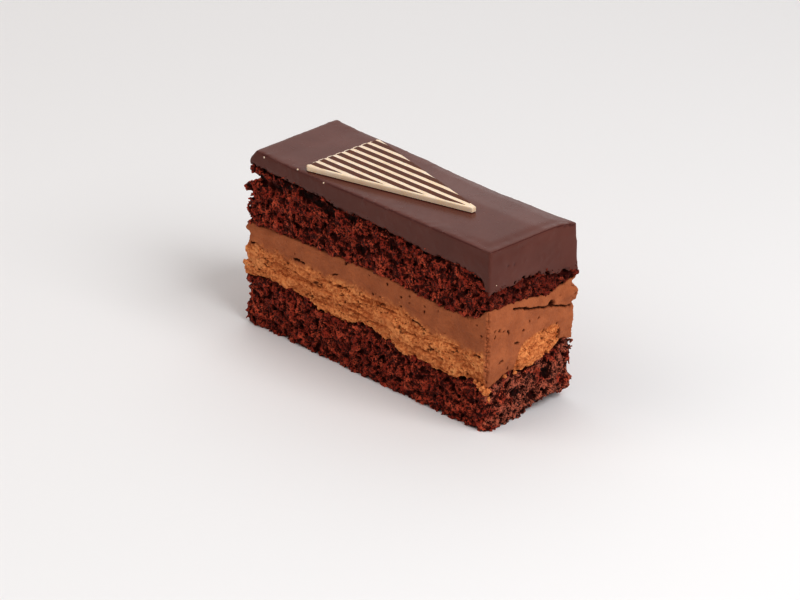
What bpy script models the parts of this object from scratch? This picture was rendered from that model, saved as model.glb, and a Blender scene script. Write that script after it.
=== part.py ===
"""A cut slice of chocolate layer cake, standing on its base.

X runs along the slice, Y across it and Z up. The near long cut face looks along -Y and the near
short end along +X. From the base up it has a chocolate sponge, a thick layer of mousse, a second
sponge and a chocolate glaze, with a striped chocolate triangle lying on the glaze.
"""

import math

import bmesh
import bpy
from mathutils import Vector, noise
from mathutils.geometry import delaunay_2d_cdt

# Every size below is in millimetres
MM = 0.001

# The whole slice
LENGTH = 120.0
WIDTH = 42.0
TOP_HEIGHT = 68.0

# Free space between a layer and the next one
LAYER_GAP = 0.3

# Spacing of the columns round the walls, and of the points inside a layer's floor and ceiling, which
# keep this far from the walls and further from the ragged start end
COLUMN_SPACING = 2.5
FACE_SPACING = 10.0
FACE_MARGIN = 4.0
FACE_START_MARGIN = 6.6

# Heights of the cut lines along the near long face, as (x, z) points from the start to the end
MOUSSE_FLOOR_ALONG = [
    (-60, 18.8), (-44, 21.4), (-29, 20.2), (-20, 17.9), (-12, 17.2), (-1, 20.4), (11, 19.3), (22, 16.4),
    (44, 16.0), (52, 18.2), (60, 16.2),
]
MOUSSE_TOP_ALONG = [(-60, 40.0), (-30, 40.9), (5, 41.6), (40, 40.4), (52, 41.1), (60, 46.0)]
GLAZE_FLOOR_ALONG = [
    (-60, 62.2), (-46, 61.5), (-22, 61.0), (-12, 58.7), (-1, 59.8), (12, 58.6), (30, 57.4), (44, 57.7),
    (53, 57.2), (60, 50.9),
]

# Heights of the same lines across the near short end, as (y, z) points from near to far
MOUSSE_FLOOR_ACROSS = [(-21, 16.2), (-9, 19.8), (-3, 18.3), (10, 20.4), (15, 24.0), (21, 22.8)]
MOUSSE_TOP_ACROSS = [(-21, 46.0), (-9, 45.8), (10, 43.9), (16, 45.2), (21, 47.6)]
GLAZE_FLOOR_ACROSS = [(-21, 50.9), (0, 51.9), (13, 49.2), (21, 48.8)]

# The foot of the short end is broken away in places: how far its base is lifted, as (y, lift) points,
# and how far back the lift reaches
FOOT_LIFT_ACROSS = [(-21, 0.0), (-1, 0.0), (2.5, 3.0), (6, 2.6), (10, 4.2), (15, 4.2), (21, 1.4)]
FOOT_LIFT_REACH = 9.0

# The shape of the short end fades out of a cut line over this stretch of the length
END_FADE = (25.0, 60.0)

# The far side, which was cut apart from the near one, wanders this much from it
FAR_WANDER = 1.1
FAR_WANDER_SIZE = 22.0

# The glaze's rounded edges
GLAZE_EDGE_RADIUS = 0.6
GLAZE_EDGE_STEPS = 3

# The glaze's top rises at the start end over this reach. It dips along its far edge, as (x, drop)
# points, and levels out this far in from that edge
START_RISE = 0.6
START_RISE_REACH = 22.0
FAR_EDGE_DIP = [(-60, 0.0), (-30, 0.4), (18, 1.9), (42, 1.8), (60, 1.1)]
FAR_DIP_REACH = 9.0

# How far the ragged start end stands out at each height, as (z, x) points. It fades out round the
# corners over CORNER_REACH
START_PROFILE = [
    (0, -1.2), (3, 0.6), (7, 0.6), (11, -1.0), (16, -0.5), (22.4, 1.7), (25.5, -1.5), (29, -0.2),
    (34.5, -2.6), (38, 0.7), (41.6, -1.9), (47.4, 0.3), (50.3, -3.4), (53.8, 2.2), (57.5, -5.9),
    (61, -0.6), (64, -1.1), (68.6, -4.2),
]
CORNER_REACH = 9.0

# How far the far corner of the short end stands out at each height, as (z, distance) points, and how
# much of that goes along X and along Y
FAR_CORNER_PROFILE = [
    (0, -0.8), (7.5, 0.5), (11, -0.7), (14, -0.1), (17, -0.4), (20, 0.2), (27, 0.1), (32, 0.0),
    (36.5, -0.2), (41, 1.3), (44, 0.0), (46, 0.8), (50, 1.6), (53, 0.7), (62, 0.4), (68, 0.6),
]
FAR_CORNER_SHARES = (1.3, 0.7)

# The start end's profile keeps this share at its far corner. The far side leans out over this stretch
# of the length
START_FAR_SHARE = 0.5
FAR_LEAN_REACH = 45.0

# Relief of the walls: how deep the crags go, how large they are, and how far the wall stands back.
# A layer thinner than THIN_LAYER has shallower crags
SPONGE_RELIEF = {"depth": 1.4, "size": 4.5, "setback": 0.6}
MOUSSE_RELIEF = {"depth": 0.7, "size": 7.0, "setback": 0.2}
GLAZE_RELIEF = {"depth": 0.18, "size": 14.0, "setback": 0.1}
SEAM_RELIEF = {"depth": 0.5, "size": 5.0, "setback": 0.5}
THIN_LAYER = 9.0

# The fractal noise of the relief: its decay, frequency step and octaves, and where its peaks are cut off
CRAG_ROUGHNESS = 0.7
CRAG_LACUNARITY = 2.0
CRAG_OCTAVES = 3
CRAG_LIMIT = 0.95

# The share of the crags that is lost where a wall follows its profile
CRAG_LOSS = 0.7

# The mousse swells out of the short ends by this much, and the swelling starts this far from them
MOUSSE_END_BULGE = 0.6
MOUSSE_BULGE_REACH = 12.0

# Rows of faces up the walls of each layer
SPONGE_ROWS = 10
MOUSSE_ROWS = 9
GLAZE_ROWS = 4

# The striped triangle: a thin plate with its axis along X
TRIANGLE_LENGTH = 65.0
TRIANGLE_BASE = 36.0
TRIANGLE_TIP = 2.0
TRIANGLE_THICKNESS = 2.0
TRIANGLE_BASE_X = -31.6
TRIANGLE_AXIS_Y = -1.6
TRIANGLE_EDGE_RADIUS = 0.3
STRIPE_PITCH = 4.18
DARK_STRIPE_WIDTH = 2.3
DARK_STRIPE_DEPTH = 0.4
DARK_STRIPES = 8

# Output type and merging distance of the triangulation of a floor or ceiling
INSIDE_ONLY = 1
SAME_POINT = 0.00001

# The walls, in the order in which a ring runs round the slice, seen from above anticlockwise
OUTWARD = (Vector((0, -1)), Vector((1, 0)), Vector((0, 1)), Vector((-1, 0)))


def clear_scene():
    for obj in list(bpy.data.objects):
        bpy.data.objects.remove(obj)


def smooth(t):
    t = min(1.0, max(0.0, t))
    return t * t * (3 - 2 * t)


def height_along(line, at):
    """Height of a cut line at one place, easing from each of its points to the next."""
    for (a, low), (b, high) in zip(line, line[1:]):
        if at <= b:
            return low + (high - low) * smooth((at - a) / (b - a))
    return line[-1][1]


def cut_surface(along, across):
    """The surface between two layers, which meets the near long face and short end in their cut lines."""

    def height(x, y):
        fade = smooth((x - END_FADE[0]) / (END_FADE[1] - END_FADE[0]))
        end_shape = height_along(across, y) - across[0][1]
        far_share = (y + WIDTH / 2) / WIDTH
        place = Vector((x, y, along[0][1])) / FAR_WANDER_SIZE
        wander = FAR_WANDER * noise.noise(place) * far_share * (1 - fade)
        return height_along(along, x) + fade * end_shape + wander

    return height


def base_surface(x, y):
    """The underside, which is flat but for the broken foot of the short end."""
    return height_along(FOOT_LIFT_ACROSS, y) * smooth(1 - (LENGTH / 2 - x) / FOOT_LIFT_REACH)


def glaze_top(x, y):
    """The glaze's top, which rises a little at the start end and dips along its far edge."""
    rise = START_RISE * smooth(1 - (x + LENGTH / 2) / START_RISE_REACH)
    dip = height_along(FAR_EDGE_DIP, x) * smooth(1 - (WIDTH / 2 - y) / FAR_DIP_REACH)
    return TOP_HEIGHT + rise - dip


mousse_floor = cut_surface(MOUSSE_FLOOR_ALONG, MOUSSE_FLOOR_ACROSS)
mousse_top = cut_surface(MOUSSE_TOP_ALONG, MOUSSE_TOP_ACROSS)
glaze_floor = cut_surface(GLAZE_FLOOR_ALONG, GLAZE_FLOOR_ACROSS)


def stations():
    """Every column of the walls, as (wall, share of the way along it). Share 0 is a corner."""
    along = round(LENGTH / COLUMN_SPACING)
    across = round(WIDTH / COLUMN_SPACING)
    return [(wall, i / count) for wall, count in enumerate((along, across) * 2) for i in range(count)]


def outline_point(wall, share, inset=0.0):
    """A point of the slice's outline, drawn in by inset."""
    left, right = -LENGTH / 2 + inset, LENGTH / 2 - inset
    near, far = -WIDTH / 2 + inset, WIDTH / 2 - inset
    corners = [Vector(p) for p in ((left, near), (right, near), (right, far), (left, far))]
    return corners[wall].lerp(corners[(wall + 1) % 4], share)


def at_start_end(x):
    """1 at the start end, falling to 0 a little way along the slice."""
    return smooth(1 - (x + LENGTH / 2) / CORNER_REACH)


def at_far_corner(x, y):
    """1 at the far corner of the short end, falling slowly along the far side and soon round the corner."""
    return smooth(1 - (WIDTH / 2 - y) / CORNER_REACH) * smooth(1 - (LENGTH / 2 - x) / FAR_LEAN_REACH)


def corner_shift(x, y, z):
    """How far the ragged start end and the far corner of the short end stand out of the plain box."""
    share = 1 - (1 - START_FAR_SHARE) * (y + WIDTH / 2) / WIDTH
    start = height_along(START_PROFILE, z) * share * at_start_end(x)
    far = height_along(FAR_CORNER_PROFILE, z) * at_far_corner(x, y)
    return Vector((far * FAR_CORNER_SHARES[0] - start, far * FAR_CORNER_SHARES[1]))


def crags(relief, floor=None, ceiling=None):
    """A function that says how far a wall stands out at a point: less where its layer is thin."""

    def stand_out(x, y, z):
        place = Vector((x, y, z)) / relief["size"]
        lumps = noise.fractal(place, CRAG_ROUGHNESS, CRAG_LACUNARITY, CRAG_OCTAVES)
        thickness = ceiling(x, y) - floor(x, y) if ceiling else THIN_LAYER
        depth = relief["depth"] * min(1.0, thickness / THIN_LAYER)
        kept = 1 - CRAG_LOSS * max(at_start_end(x), at_far_corner(x, y))
        return kept * (depth * max(-CRAG_LIMIT, min(CRAG_LIMIT, lumps)) - relief["setback"])

    return stand_out


def mousse_crags(x, y, z):
    """The mousse's own relief. It also swells out of both short ends at half its height."""
    near_end = smooth((abs(x) - LENGTH / 2 + MOUSSE_BULGE_REACH) / MOUSSE_BULGE_REACH)
    low, high = mousse_floor(x, y), mousse_top(x, y)
    swell = MOUSSE_END_BULGE * near_end * math.sin(math.pi * (z - low) / (high - low))
    return crags(MOUSSE_RELIEF)(x, y, z) + swell


def ring(bm, height, stand_out, inset=0.0):
    """One closed row of vertices round the slice. height gives z from the untouched outline."""
    verts = []
    for wall, share in stations():
        plain = outline_point(wall, share)
        z = height(plain.x, plain.y)
        outward = OUTWARD[wall] if share else OUTWARD[wall] + OUTWARD[wall - 1]
        point = outline_point(wall, share, inset) + outward * stand_out(plain.x, plain.y, z)
        point += corner_shift(plain.x, plain.y, z)
        verts.append(bm.verts.new((point.x * MM, point.y * MM, z * MM)))
    return verts


def bridge(bm, low_ring, high_ring):
    """Quads between two rings."""
    count = len(low_ring)
    for i in range(count):
        following = (i + 1) % count
        bm.faces.new((low_ring[i], low_ring[following], high_ring[following], high_ring[i]))


def inner_points():
    """Points inside a layer's floor or ceiling, on a grid well clear of the walls."""
    columns = round((LENGTH - 2 * FACE_MARGIN) / FACE_SPACING)
    rows = round((WIDTH - 2 * FACE_MARGIN) / FACE_SPACING)
    left, near = -LENGTH / 2 + FACE_MARGIN, -WIDTH / 2 + FACE_MARGIN
    across_step = (WIDTH - 2 * FACE_MARGIN) / rows
    along_step = (LENGTH - 2 * FACE_MARGIN) / columns
    along = [left + i * along_step for i in range(columns + 1)]
    return [
        (x, near + j * across_step)
        for x in along
        for j in range(rows + 1)
        if x > -LENGTH / 2 + FACE_START_MARGIN
    ]


def cap(bm, boundary, surface, offset, upwards):
    """Closes a layer over one ring, following the surface moved up by offset."""
    verts = list(boundary)
    for x, y in inner_points():
        verts.append(bm.verts.new((x * MM, y * MM, (surface(x, y) + offset) * MM)))
    flat = [Vector((v.co.x / MM, v.co.y / MM)) for v in verts]
    edges = [(i, (i + 1) % len(boundary)) for i in range(len(boundary))]
    placed, _, triangles, sources, _, _ = delaunay_2d_cdt(flat, edges, [], INSIDE_ONLY, SAME_POINT)
    if len(placed) != len(flat):
        raise ValueError("two points of a layer's face lie in one place")
    for triangle in triangles:
        corners = [verts[sources[i][0]] for i in triangle]
        bm.faces.new(corners if upwards else corners[::-1])


def material(name, colour, roughness):
    made = bpy.data.materials.new(name)
    made.use_nodes = True
    shader = made.node_tree.nodes["Principled BSDF"]
    shader.inputs["Base Color"].default_value = (*colour, 1.0)
    shader.inputs["Roughness"].default_value = roughness
    shader.inputs["Metallic"].default_value = 0.0
    made.diffuse_color = (*colour, 1.0)
    return made


def add_object(name, mesh, surface_material):
    obj = bpy.data.objects.new(name, mesh)
    bpy.context.scene.collection.objects.link(obj)
    mesh.materials.append(surface_material)
    return obj


def between(floor, floor_offset, ceiling, ceiling_offset, share):
    """The height that is a share of the way from one surface to another."""

    def height(x, y):
        low, high = floor(x, y) + floor_offset, ceiling(x, y) + ceiling_offset
        return low + (high - low) * share

    return height


def build_layer(name, floor, ceiling, rows, stand_out, surface_material):
    """A layer of sponge or mousse: craggy walls between the two seams that it shares."""
    bm = bmesh.new()
    floor_gap = LAYER_GAP / 2 if floor is not base_surface else 0.0
    rings = []
    for row in range(rows + 1):
        height = between(floor, floor_gap, ceiling, -LAYER_GAP / 2, row / rows)
        wall = crags(SEAM_RELIEF) if row in (0, rows) else stand_out
        rings.append(ring(bm, height, wall))
    for low_ring, high_ring in zip(rings, rings[1:]):
        bridge(bm, low_ring, high_ring)
    cap(bm, rings[0], floor, floor_gap, upwards=False)
    cap(bm, rings[-1], ceiling, -LAYER_GAP / 2, upwards=True)
    mesh = bpy.data.meshes.new(name)
    bm.to_mesh(mesh)
    bm.free()
    return add_object(name, mesh, surface_material)


def build_glaze(name, rows, surface_material):
    """The glaze: smooth walls and rounded edges round its top."""
    bm = bmesh.new()
    shoulder = -GLAZE_EDGE_RADIUS
    rings = []
    for row in range(rows + 1):
        height = between(glaze_floor, LAYER_GAP / 2, glaze_top, shoulder, row / rows)
        rings.append(ring(bm, height, crags(GLAZE_RELIEF if row else SEAM_RELIEF)))
    for step in range(1, GLAZE_EDGE_STEPS + 1):
        turn = math.pi / 2 * step / GLAZE_EDGE_STEPS
        draw_in = 1 - math.cos(turn)
        height = between(glaze_floor, 0.0, glaze_top, shoulder + GLAZE_EDGE_RADIUS * math.sin(turn), 1.0)
        rings.append(ring(bm, height, crags(GLAZE_RELIEF), GLAZE_EDGE_RADIUS * draw_in))
    for low_ring, high_ring in zip(rings, rings[1:]):
        bridge(bm, low_ring, high_ring)
    cap(bm, rings[0], glaze_floor, LAYER_GAP / 2, upwards=False)
    cap(bm, rings[-1], glaze_top, 0.0, upwards=True)
    mesh = bpy.data.meshes.new(name)
    bm.to_mesh(mesh)
    bm.free()
    obj = add_object(name, mesh, surface_material)
    mesh.shade_smooth()
    mesh.set_sharp_from_angle(angle=math.radians(40))
    return obj


def prism(bm, outline, low, high):
    """A closed upright prism over an anticlockwise outline."""
    base = bm.faces.new([bm.verts.new((x * MM, y * MM, low * MM)) for x, y in outline])
    risen = bmesh.ops.extrude_face_region(bm, geom=[base])["geom"]
    lift = Vector((0, 0, (high - low) * MM))
    bmesh.ops.translate(bm, verts=[v for v in risen if isinstance(v, bmesh.types.BMVert)], vec=lift)
    bmesh.ops.recalc_face_normals(bm, faces=bm.faces)


def stripe_cutter(low, high):
    """The bars that cut the channels of the dark stripes, one between each pair of white stripes."""
    bm = bmesh.new()
    reach = TRIANGLE_LENGTH
    for i in range(DARK_STRIPES):
        middle = (i - (DARK_STRIPES - 1) / 2) * STRIPE_PITCH
        near, far = middle - DARK_STRIPE_WIDTH / 2, middle + DARK_STRIPE_WIDTH / 2
        prism(bm, [(-reach, near), (2 * reach, near), (2 * reach, far), (-reach, far)], low, high)
    mesh = bpy.data.meshes.new("stripe_cutter")
    bm.to_mesh(mesh)
    bm.free()
    cutter = bpy.data.objects.new("stripe_cutter", mesh)
    bpy.context.scene.collection.objects.link(cutter)
    cutter.hide_render = True
    cutter.display_type = "WIRE"
    return cutter


def build_triangle(name, surface_material):
    """The striped triangle: a thin plate whose dark stripes are shallow channels along its axis."""
    bm = bmesh.new()
    half_base, half_tip = TRIANGLE_BASE / 2, TRIANGLE_TIP / 2
    outline = [(0, -half_base), (TRIANGLE_LENGTH, -half_tip), (TRIANGLE_LENGTH, half_tip), (0, half_base)]
    prism(bm, outline, 0, TRIANGLE_THICKNESS)
    mesh = bpy.data.meshes.new(name)
    bm.to_mesh(mesh)
    bm.free()
    plate = add_object(name, mesh, surface_material)
    rounding = plate.modifiers.new("rounded_edges", "BEVEL")
    rounding.width = TRIANGLE_EDGE_RADIUS * MM
    rounding.segments = 2
    rounding.limit_method = "ANGLE"
    cutter = stripe_cutter(TRIANGLE_THICKNESS - DARK_STRIPE_DEPTH, TRIANGLE_THICKNESS * 2)
    cutter.parent = plate
    channels = plate.modifiers.new("stripe_channels", "BOOLEAN")
    channels.operation = "DIFFERENCE"
    channels.object = cutter
    plate.location = Vector((TRIANGLE_BASE_X, TRIANGLE_AXIS_Y, TOP_HEIGHT + LAYER_GAP)) * MM
    return plate


def build():
    sponge = material("dark_sponge", (0.060, 0.010, 0.005), 0.85)
    mousse = material("chocolate_mousse", (0.330, 0.105, 0.035), 0.65)
    glaze = material("chocolate_glaze", (0.085, 0.035, 0.026), 0.3)
    white_chocolate = material("white_chocolate", (0.870, 0.730, 0.480), 0.35)

    lower_crags = crags(SPONGE_RELIEF, base_surface, mousse_floor)
    upper_crags = crags(SPONGE_RELIEF, mousse_top, glaze_floor)
    build_layer("sponge_lower", base_surface, mousse_floor, SPONGE_ROWS, lower_crags, sponge)
    build_layer("mousse", mousse_floor, mousse_top, MOUSSE_ROWS, mousse_crags, mousse)
    build_layer("sponge_upper", mousse_top, glaze_floor, SPONGE_ROWS, upper_crags, sponge)
    build_glaze("chocolate_glaze", GLAZE_ROWS, glaze)
    build_triangle("striped_triangle", white_chocolate)


clear_scene()
build()
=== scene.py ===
"""The looks of a cut slice of chocolate layer cake on a plain pale floor.

X runs along the slice, Y across it and Z up, in metres. The near long cut face looks along -Y and the
near short end along +X. Each layer starts from its solid in the frame: a field of depth inside the solid,
plus the relief of the food, is turned into a fine mesh by Geometry Nodes.
"""

import math
import random

import bmesh
import bpy
from mathutils import Matrix, Vector, noise


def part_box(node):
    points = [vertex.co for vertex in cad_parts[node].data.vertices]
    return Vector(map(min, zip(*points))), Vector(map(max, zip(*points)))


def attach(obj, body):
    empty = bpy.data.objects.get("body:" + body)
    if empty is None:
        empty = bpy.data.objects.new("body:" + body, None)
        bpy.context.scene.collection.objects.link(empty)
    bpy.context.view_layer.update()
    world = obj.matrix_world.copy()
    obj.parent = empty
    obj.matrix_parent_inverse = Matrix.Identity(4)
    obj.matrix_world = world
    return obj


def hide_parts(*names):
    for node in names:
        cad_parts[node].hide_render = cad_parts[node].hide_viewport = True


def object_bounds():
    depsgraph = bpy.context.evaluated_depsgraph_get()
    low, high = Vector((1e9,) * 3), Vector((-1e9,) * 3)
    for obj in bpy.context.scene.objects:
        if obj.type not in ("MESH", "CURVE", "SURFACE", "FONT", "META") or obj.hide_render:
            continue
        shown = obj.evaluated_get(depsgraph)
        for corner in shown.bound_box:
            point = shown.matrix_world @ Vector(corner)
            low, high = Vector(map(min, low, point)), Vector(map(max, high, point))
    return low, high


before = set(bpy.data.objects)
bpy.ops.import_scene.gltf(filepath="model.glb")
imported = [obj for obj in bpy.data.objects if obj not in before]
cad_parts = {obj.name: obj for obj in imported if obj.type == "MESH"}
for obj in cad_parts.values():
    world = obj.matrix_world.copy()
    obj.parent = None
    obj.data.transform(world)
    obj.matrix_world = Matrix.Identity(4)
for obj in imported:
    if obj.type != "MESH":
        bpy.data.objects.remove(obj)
cad_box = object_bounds()

MM = 0.001

# The cut planes of the slice
HALF_LENGTH = 60.0 * MM
HALF_WIDTH = 21.0 * MM

# Size of a volume cell, in which the relief of each food is carved, and the empty room round the food
CELL = {"sponge": 0.5 * MM, "mousse": 0.73 * MM, "glaze": 0.5 * MM}
CELL_MARGIN = 2.0 * MM

# The relief of a layer fades out behind its cut faces, between these depths. Further in, the fine skin
# of the mousse's floor and ceiling gives way to one plain face
SEAM_FADE = (3.0 * MM, 6.0 * MM)
SKIN_DEPTH = 6.5 * MM

# The crumb: how wide its cells, pores, fine grains and hollows are. A web stands out where it is further
# from a cell's middle than the level
WEB_SIZE = 1.75 * MM
WEB_LEVEL = 0.52
PORE_SIZE = 2.8 * MM
FINE_CRUMB_SIZE = 0.8 * MM
HOLLOW_SIZE = 5.0 * MM
HOLLOW_DEPTH = 1.1 * MM
GAP_WIDTH = 2.3 * MM
GAP_DEPTH = 4.6 * MM

# The mousse: how wide its lumps, flakes, bubbles, cracks and edge beads are, and how deep it is opened
TORN_EDGE_WANDER = 9.0 * MM
LUMP_SIZE = 4.6 * MM
FLAKE_SIZE = 2.2 * MM
BUBBLE_SIZE = 2.3 * MM
BUBBLE_DEPTH = 0.8 * MM
CRACK_SIZE = 4.2 * MM
CRACK_DEPTH = 0.7 * MM
TEAR_WIDTH = 0.5 * MM
TEAR_DEPTH = 1.2 * MM
NOTCH_WIDTH = 1.5 * MM
NOTCH_DEPTH = 1.8 * MM
BEAD_SIZE = 1.15 * MM
BEAD_HEIGHT = 2.6 * MM
BROKEN_HEIGHT = 1.6 * MM

# The glaze: its waves, dents, ragged foot, and the droop of its top towards the short end
WAVE_SIZE = 16.0 * MM
DENT_WIDTH = 0.8 * MM
DENT_DEPTH = 0.4 * MM
BITE_SIZE = 2.2 * MM
BITE_DEPTH = 1.3 * MM
DROOP = 0.4 * MM

# Loose grains: the smallest of them, and how wide the dents in a grain are
SMALLEST_GRAIN = 0.3 * MM
GRAIN_DENT = 0.35 * MM

# Tears and pits in the mousse, in millimetres. On the near face a point is (along X, height), and on
# the short end it is (along Y, height). A line of one point is a pit
NEAR_TEARS = [
    [(-57.3, 32.5), (-54.7, 33.0), (-52.6, 32.5)],
    [(-35.0, 33.2), (-32.0, 33.8), (-29.8, 33.6)],
    [(-16.1, 33.7), (-12.7, 34.8)],
    [(-14.4, 30.5), (-9.0, 31.2), (-4.9, 33.1)],
    [(24.3, 30.9), (27.8, 30.7), (29.9, 29.4), (34.2, 28.6)],
    [(34.6, 23.0), (38.0, 23.0)],
    [(43.2, 25.3), (48.0, 26.6), (53.4, 27.5), (57.5, 28.6)],
    [(-39.3, 26.6), (-39.1, 25.0)],
    [(-27.4, 27.8), (-27.0, 26.2)],
    [(-26.0, 32.2)],
    [(39.8, 30.9)],
    [(5.8, 33.8)],
    [(8.4, 33.4)],
]
END_TEARS = [
    [
        (-8.5, 43.2), (-4.0, 42.2), (1.0, 40.6), (5.5, 39.5),
        (8.5, 38.8), (11.0, 38.3), (15.0, 37.0), (20.0, 35.4),
    ],
    [(8.6, 39.2), (10.8, 40.1)],
    [(9.0, 38.6), (11.4, 39.2), (9.8, 39.9), (10.6, 39.4)],
    [(-17.6, 38.0)],
    [(-15.6, 37.4)],
    [(-13.8, 36.4)],
    [(-11.1, 34.9), (-11.4, 36.2)],
    [(-17.4, 35.7)],
    [(-7.7, 30.2), (-6.2, 30.0)],
    [(-4.4, 34.0)],
    [(-1.2, 36.5)],
    [(3.8, 35.9)],
    [(12.6, 31.0)],
    [(13.9, 28.8), (14.2, 26.6), (13.6, 24.6)],
    [(-15.3, 25.3), (-13.9, 26.0)],
]

# Wider notches in the mousse's ends: (x, y, z) points, in millimetres
NOTCHES = [
    [(-60.3, -21.0, 25.7), (-60.3, -16.0, 26.4), (-60.3, -9.0, 25.6)],
    [(-60.3, -21.0, 42.0), (-60.3, -18.0, 41.5)],
    [(-60.3, -21.0, 33.4), (-60.3, -18.0, 33.0)],
    [(-60.3, 2.0, 32.0), (-60.3, 10.0, 33.5)],
    [(60.4, 23.0, 44.4), (60.4, 20.6, 44.0)],
    [(60.4, 22.0, 36.6), (60.4, 20.6, 36.4)],
    [(60.2, 9.6, 39.2), (60.2, 10.5, 39.6)],
]

# Where the torn, lighter mousse ends, in millimetres: its height along the near face, and its height
# across the short end
TORN_ALONG = [(-60.0, 31.5), (-35.0, 32.5), (-13.0, 32.5), (16.0, 33.0), (36.0, 29.5), (60.0, 29.0)]
TORN_ACROSS = [
    (-21.0, 14.0), (-9.0, 17.0), (-4.4, 28.7), (0.2, 30.0),
    (7.9, 31.5), (14.0, 30.2), (15.5, 14.0), (21.0, 14.0),
]

# Dents in the glaze's top as (x, y), small pits in its short end as (y, height), and the edge of its
# skin along the top of the short end as (y, height) points, in millimetres
TOP_DENTS = [[(36.5, 7.2), (39.5, 9.0)], [(43.5, -7.6), (46.0, -6.2)]]
END_PITS = [(-4.9, 65.3), (-12.1, 60.4), (10.8, 66.0), (-9.0, 60.0)]
SKIN_EDGE = [(-3.0, 65.9), (0.5, 66.4), (4.0, 67.0), (9.0, 67.2), (14.0, 66.8), (20.0, 65.9)]

# Hollows torn in the sponges, in millimetres: on the near face as (along X, height) points, at the start
# end as (x, y, z) points, and on the short end as (along Y, height) points. The first is the long hollow
# under the glaze
SPONGE_GAPS = [
    [(-32.0, 59.6), (-28.0, 59.2), (-24.5, 58.8), (-20.5, 58.0), (-16.0, 56.6)],
    [(-53.5, 58.4), (-51.5, 57.4)],
    [(-47.0, 57.0), (-43.5, 56.6)],
    [(-41.0, 59.4), (-38.0, 59.8)],
    [(-9.0, 58.6), (-6.0, 58.0)],
    [(12.0, 55.5), (13.5, 54.9)],
    [(-3.0, 48.0), (-1.8, 47.4)],
]
START_GAPS = [
    [(-59.0, -21.0, 56.6), (-59.0, -14.0, 57.2), (-60.0, -7.0, 57.0)],
    [(-60.0, 4.0, 50.0), (-60.0, 8.0, 49.0)],
    [(-60.0, -21.0, 10.6), (-60.0, -17.0, 11.2)],
]
END_GAPS = [
    [(-6.0, 11.0), (-4.0, 10.2)],
    [(8.0, 14.0), (9.2, 13.0)],
    [(2.0, 7.0), (3.2, 6.4)],
    [(-0.6, 1.4), (9.0, 1.7), (20.5, 1.5)],
]

# White specks on the glaze: (x, y, z, size) in millimetres
SPECKS = [
    (-50.9, -20.9, 67.4, 0.56), (-34.0, -20.6, 68.1, 0.56),
    (-20.5, -20.9, 67.4, 0.5), (60.0, -17.6, 55.0, 0.34),
]

# Bits of mousse that the knife dragged over the lower sponge at the near corner: (x, y, z, size) in
# millimetres
DRAGGED_MOUSSE = [
    (60.1, -20.0, 13.0, 1.7), (59.6, -20.8, 15.9, 2.0), (58.2, -20.9, 16.8, 2.0), (56.6, -21.0, 17.6, 1.8),
    (60.3, -20.2, 16.2, 1.7), (55.0, -21.1, 18.4, 1.4), (60.5, -12.5, 19.4, 1.2), (60.6, -7.6, 19.3, 1.4),
]

# The striped triangle, in millimetres. The dark stripes keep a rim clear of its long edges and a gap to its
# base and tip, waver a little, and end where they are as narrow as the point. The white stripes between
# them end in round noses along the base
TRIANGLE_BASE_X = -31.6
TRIANGLE_AXIS_Y = -1.6
TRIANGLE_LENGTH = 65.0
TRIANGLE_BASE = 36.0
TRIANGLE_TIP = 2.0
TRIANGLE_EDGE = 0.5
STRIPE_PITCH = 4.18
DARK_STRIPE_WIDTH = 2.3
DARK_STRIPES = 8
DARK_STRIPE_DEPTH = 0.3
STRIPE_RELIEF = 0.06
STRIPE_WAVE = 0.05
STRIPE_POINT = 0.12
STRIPE_BASE_GAP = 0.1
STRIPE_TIP_GAP = 3.0
STRIPE_STEPS = 24
NEAR_RIM = 0.75
FAR_RIM = 0.3
NOSE_LENGTH = 0.6
CORNER_NOSE_LENGTH = 1.5
NOSE_STEPS = 6

# The room: the light from all round, and the curve of the finished picture
ROOM_COLOUR = (0.84, 0.81, 0.81, 1.0)
ROOM_STRENGTH = 0.5
VIEW_GAMMA = 0.8
FLOOR_COLOUR = (0.790, 0.786, 0.782, 1.0)
FLOOR_REACH = 3.0

# The camera: where it stands in metres, how far it is turned, tipped and rolled in degrees, and its lens
CAMERA_PLACE = (0.76222, -0.76864, 0.53746)
CAMERA_AZIMUTH = 44.8636
CAMERA_ELEVATION = 25.4257
CAMERA_ROLL = 1.1693
LENS = 153.0
SENSOR_WIDTH = 36.0


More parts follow.
